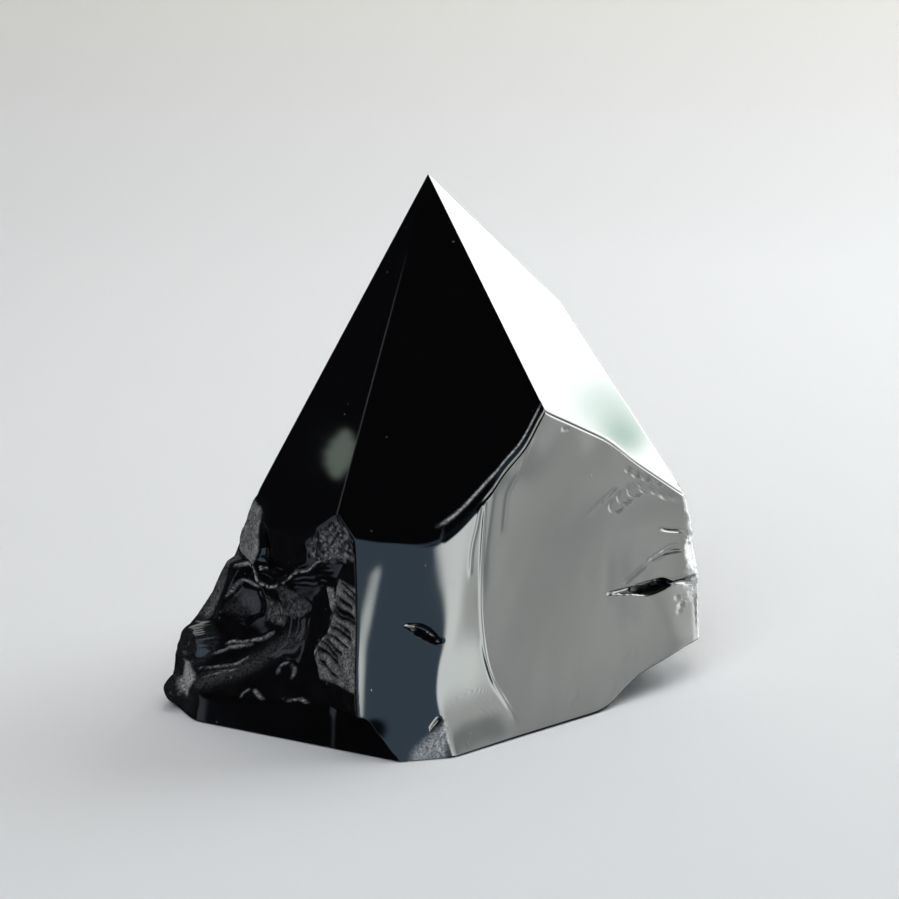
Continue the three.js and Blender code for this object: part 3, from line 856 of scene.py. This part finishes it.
def left_frost_and_sheen(s, z):
    """How grainy and grey the left side is: patches, a band, and the crests of its ridges. The band's grey
    and the lighter upper part of the dark facet are painted sheen. Where several overlap the strongest
    shows, and the comb's cuts are clear."""
    fine, rough = grain(s, z, 0.45, 7), grain(s, z, 1.1, 18)
    crossed, specks = fine * grain(s + z, z - s, 0.8, 33), smooth(grain(s, z, 0.34, 34), 0.35, 0.9)
    off_band, _ = along(s, z, (BAND_INNER + BAND_OUTER) / 2)
    outer_edge = within(s, -21, -14.6 - 0.25 * (22 - z), 4, 0.6) * within(z, 12, 24, 3, 2)
    blocks = smooth(s - curve(COMB_EDGE, z), 0, 0.3) * within(z, 9.7, 25.8, 0.8, 0.8)
    levels = [
        0.006 * rough,
        # Painted sheen: the smooth curved band, greyed as if it mirrored soft light, fading out above.
        0.075 * hump(off_band, 1.3) * smooth(19 - z, 0, 6),
        # Painted sheen: the upper part of the dark facet, lighter than its lower part.
        0.055 * patch(s, z, DARK_FACET, 0.2, 2.2) * smooth(z - 0.3 * (s + 11), 14, 17),
        (0.04 + 0.5 * crossed) * patch(s, z, LIGHT_GRAINS, -0.2, 0.8),
        (0.02 + 0.16 * fine) * patch(s, z, DARK_GRAINS, -0.3, 0.4),
        (0.03 + 0.34 * specks) * patch(s, z, SPECKLED, -0.4, 0.6),
        (0.3 + 0.26 * rough) * patch(s, z, END_FACET, 0, 0.3),
        0.5 * patch(s, z, BRIGHT_FACET, 0, 0.2),
        (0.2 + 0.2 * fine) * patch(s, z, LIGHT_PATCH, 0, 0.25),
        (0.1 + 0.2 * rough) * outer_edge,
        (0.16 + 0.34 * rough) * blocks,
    ]
    for path, width, _, crest in LEFT_LINES:
        levels.append(line_ridge(s, z, path, 0.55 * width, 1.5 * crest * smooth(fine, 0.1, 0.8)))
    return np.maximum.reduce(levels) * (1 - np.minimum(comb(s, z), 1))


def crooked(s, z):
    """The left side's chart, bent by noise so that no mark runs straight."""
    return s + uneven(s, z, 0.9, 2.2, 31), z + uneven(s, z, 0.9, 2.2, 32)


def ring_normals(grid):
    """Outward normals of a closed ring of columns, from differences along its rows and columns."""
    across = np.roll(grid, -1, axis=1) - np.roll(grid, 1, axis=1)
    n = np.cross(across, np.gradient(grid, axis=0))
    return n / np.linalg.norm(n, axis=-1, keepdims=True)


# Each kind of mark keeps to its own part of the break.
x, y, z = np.moveaxis(smooth_surface, -1, 0)
side, bearing = side_of(smooth_surface), azimuth_of(smooth_surface)
chart = crooked(side, z)
turned = MM_PER_DEGREE * bearing
from_lumps = np.min([np.linalg.norm(smooth_surface - np.array(at), axis=-1) - r for at, r in LUMPS], axis=0)
below_rim = smooth(rim - z, 0.1, 0.6)
on_front = smooth(-np.abs(front_sheet(smooth_surface)), -0.35, -0.1) * below_rim
on_left = smooth(from_lumps, 0.3, 1.5) * smooth(z - ledge, 0, 0.6) * within(bearing, -98, -14, 10, 4)
on_left = on_left * (1 - on_front) * below_rim
on_foot = within(bearing, -98, -58, 10, 6) * smooth(z, 0.2, 1) * (1 - on_left) * below_rim
elsewhere = (1 - on_front) * (1 - on_left) * (1 - within(bearing, -96, 96, 6, 6)) * below_rim
chipped = smooth(x, 37.4, 38.8) * within(z, 12, 31, 3, 2) * smooth(112 - bearing, 0, 10)
grooved = hump(rim - z - GROOVE_BELOW_RIM, GROOVE_WIDTH) * within(bearing, 18, 92, 10, 6)

relief = on_front * front_relief(x, z) + on_left * left_relief(*chart)
relief += elsewhere * (uneven(turned, z, 0.5, 3.3, 20) + uneven(turned, z, 0.3, 1.4, 22))
relief += on_foot * uneven(turned, z, 0.5, 1.5, 23)
relief += chipped * uneven(x + y, z, 0.3, 0.7, 25)
relief -= GROOVE_DEPTH * grooved
surface = smooth_surface + ring_normals(smooth_surface) * relief[..., None]

# Frost is how grey the bruised glass looks, with painted sheen in places. Where the hand-ground
# band starts there is a painted highlight, a thin light line.
band_start_highlight = hump(lump(surface) + BAND / 0.3, 0.04)
# Grey of bruised glass, with painted sheen on the left side and a painted highlight under the front facet.
frost_and_sheen = np.maximum.reduce(
    (
        on_left * left_frost_and_sheen(*chart) + 0.5 * on_front * tip_patch(x, z),
        0.8 * patch(side, z, SLIVER, -0.2, 0.5) * (on_left + on_foot),
        0.03 * on_foot,
        chipped * (0.25 + 0.7 * grain(x + surface[..., 1], z, 0.6, 24)),
        # Painted highlight: the thin light line where the hand-ground band starts.
        0.8 * band_start_highlight * within(bearing, 2, 54, 6, 4),
    )
)
broken = smooth(rim - z, -0.5, 0.2)

# The skirt is a ring of quads closed by the base, and each facet is one face above it.
base_ring = column_point(angles, radii[0] - BASE_INSET - INSET_PER_MM * edge, 0 * edge)
rings_of_points = np.concatenate((base_ring[None], surface))
columns = len(angles)
points = np.concatenate((rings_of_points.reshape(-1, 3), [APEX, SHOULDER]))
index = np.arange(len(points) - 2).reshape(-1, columns)
right = np.roll(index, -1, axis=1)
quads = np.stack((index[:-1], right[:-1], right[1:], index[1:]), -1).reshape(-1, 4)

apex, shoulder = len(points) - 2, len(points) - 1
faces = [tuple(q) for q in quads.tolist()] + [tuple(index[0][::-1].tolist())]
stops = [int(np.argmin(np.abs(angles - c))) for c in corners]
low_start, low_end = sorted(int(np.argmin(np.abs(angles - c))) for c in low_corners)
for start, end in zip(stops, stops[1:] + [stops[0] + columns]):
    top = [int(index[-1][i % columns]) for i in range(start, end + 1)]
    if start == low_start:
        faces.append((*top, shoulder))
    elif end == low_start:
        faces.append((*top, shoulder, apex))
    elif start == low_end:
        faces.append((*top, apex, shoulder))
    else:
        faces.append((*top, apex))

# The glass: black and mirror-smooth where it is polished, less smooth on the break, and grey where
# the break is bruised and where sheen is painted on. Dust lies in specks, and a painted highlight,
# a thin light line, runs down the edge between the dark facets.
# The grey stands for bruised glass, and also for painted sheen and painted highlights.
BLACK, FROST_AND_SHEEN = (0.0018, 0.0018, 0.0022, 1), (0.53, 0.54, 0.545, 1)
GLASS_IOR = 1.5
POLISHED_ROUGHNESS, FROSTED_ROUGHNESS = 0.03, 0.5
BROKEN_ROUGHNESS = (0.06, 0.16)
DUST_SCALE, DUST_RADII, DUST_LEFT_OUT = 330.0, (0.035, 0.075), 0.55  # cells per m, in cells, share
# DUST_AND_HIGHLIGHT_LEVEL scales both the dust and the painted edge highlight.
DUST_AND_HIGHLIGHT_LEVEL = 0.16  # how much of the frost's grey it has
# The painted edge highlight, a thin light line: its half widths, where it appears, and its level.
EDGE_HIGHLIGHT_HALF_WIDTHS = (0.08 * MM, 0.2 * MM)  # full inside the first, none past the second
EDGE_HIGHLIGHT_FROM = (12 * MM, 26 * MM)  # distance from the apex over which the line appears
EDGE_HIGHLIGHT_LEVEL = 0.5
FROST_BUMP = 0.06 * MM
SPECKLE_SCALE, CLOUD_SCALE = 2700.0, 160.0  # per m
SPECKLE_SPAN, SPECKLE_GAIN = (0.36, 0.66), (0.3, 1.6)  # its values, and what they multiply frost by


def arithmetic(material, operation, *values, **settings):
    inputs = dict(enumerate(values))
    return node(material, "ShaderNodeMath", inputs, operation=operation, **settings).outputs[0]


def noise(material, vector, scale):
    inputs = {"Vector": vector, "Scale": scale, "Detail": 3.0, "Roughness": 0.6}
    return node(material, "ShaderNodeTexNoise", inputs).outputs["Fac"]


def attribute(material, name):
    return node(material, "ShaderNodeAttribute", {}, attribute_name=name).outputs["Fac"]


def length(material, vector):
    return node(material, "ShaderNodeVectorMath", {0: vector}, operation="LENGTH").outputs["Value"]


def dust(material, place):
    """Specks at random points, some of which are left out."""
    cells = node(material, "ShaderNodeTexVoronoi", {"Vector": place, "Scale": DUST_SCALE})
    speck = remap(material, cells.outputs["Distance"], *DUST_RADII, 1.0, 0.0)
    pick = node(material, "ShaderNodeSeparateColor", {0: cells.outputs["Color"]}).outputs[0]
    return arithmetic(material, "MULTIPLY", speck, arithmetic(material, "GREATER_THAN", pick, DUST_LEFT_OUT))


def painted_edge_highlight(material, place):
    """A painted highlight: a thin light line down the edge from the apex between the left and the front
    facet. The distance from the edge is the length of (point - apex) x (unit vector along the edge)."""
    along_edge = np.cross(direction(*LEFT_FACET), direction(*FRONT_FACET))
    unit = tuple(along_edge / np.linalg.norm(along_edge))
    apex_at = tuple((APEX - BOX_MIDDLE) * MM)
    inputs = {0: place, 1: apex_at}
    from_apex = node(material, "ShaderNodeVectorMath", inputs, operation="SUBTRACT").outputs[0]
    inputs = {0: from_apex, 1: unit}
    off_edge = node(material, "ShaderNodeVectorMath", inputs, operation="CROSS_PRODUCT").outputs[0]
    line = remap(material, length(material, off_edge), *EDGE_HIGHLIGHT_HALF_WIDTHS, EDGE_HIGHLIGHT_LEVEL, 0.0)
    return arithmetic(material, "MULTIPLY", line, remap(material, length(material, from_apex), *EDGE_HIGHLIGHT_FROM))


obsidian = new_material("obsidian")
place = node(obsidian, "ShaderNodeTexCoord", {}).outputs["Object"]
# frost_and_sheen: bruised glass, with painted sheen and highlights in places.
frost_and_sheen_share, unpolished = attribute(obsidian, "frost_and_sheen"), attribute(obsidian, "broken")
speckle, cloudy = noise(obsidian, place, SPECKLE_SCALE), noise(obsidian, place, CLOUD_SCALE)

# specks: the painted edge highlight and the dust specks, greyed together below.
specks = arithmetic(obsidian, "ADD", painted_edge_highlight(obsidian, place), dust(obsidian, place))
patchy = arithmetic(obsidian, "MULTIPLY", frost_and_sheen_share, remap(obsidian, speckle, *SPECKLE_SPAN, *SPECKLE_GAIN))
grey = arithmetic(obsidian, "MULTIPLY_ADD", specks, DUST_AND_HIGHLIGHT_LEVEL, patchy, use_clamp=True)
glass_colour = blend_colours(obsidian, grey, BLACK, FROST_AND_SHEEN)

on_break = remap(obsidian, cloudy, 0.0, 1.0, *BROKEN_ROUGHNESS)
inputs = {0: unpolished, 2: POLISHED_ROUGHNESS, 3: on_break}
unfrosted = node(obsidian, "ShaderNodeMix", inputs, data_type="FLOAT").outputs[0]
inputs = {0: frost_and_sheen_share, 2: unfrosted, 3: FROSTED_ROUGHNESS}
roughness = node(obsidian, "ShaderNodeMix", inputs, data_type="FLOAT").outputs[0]

inputs = {"Height": speckle, "Strength": frost_and_sheen_share, "Distance": FROST_BUMP}
bumped = node(obsidian, "ShaderNodeBump", inputs).outputs[0]
inputs = {"Base Color": glass_colour, "Roughness": roughness, "Normal": bumped, "IOR": GLASS_IOR}
show(obsidian, node(obsidian, "ShaderNodeBsdfPrincipled", inputs))

stone = mesh_object("polished_point", (points - BOX_MIDDLE) * MM, faces, obsidian)
curved = np.zeros(len(faces), bool)
curved[: len(quads)] = True
stone.data.polygons.foreach_set("use_smooth", curved)
base_row, peaks = np.zeros((1, columns)), (0, 0)
for name, base_value, values in (("broken", 1, broken), ("frost_and_sheen", 0, frost_and_sheen)):
    data = np.concatenate((np.concatenate((base_row + base_value, values)).ravel(), peaks))
    stone.data.attributes.new(name, "FLOAT", "POINT").data.foreach_set("value", data)

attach(stone, "root")
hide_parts("obsidian_point")
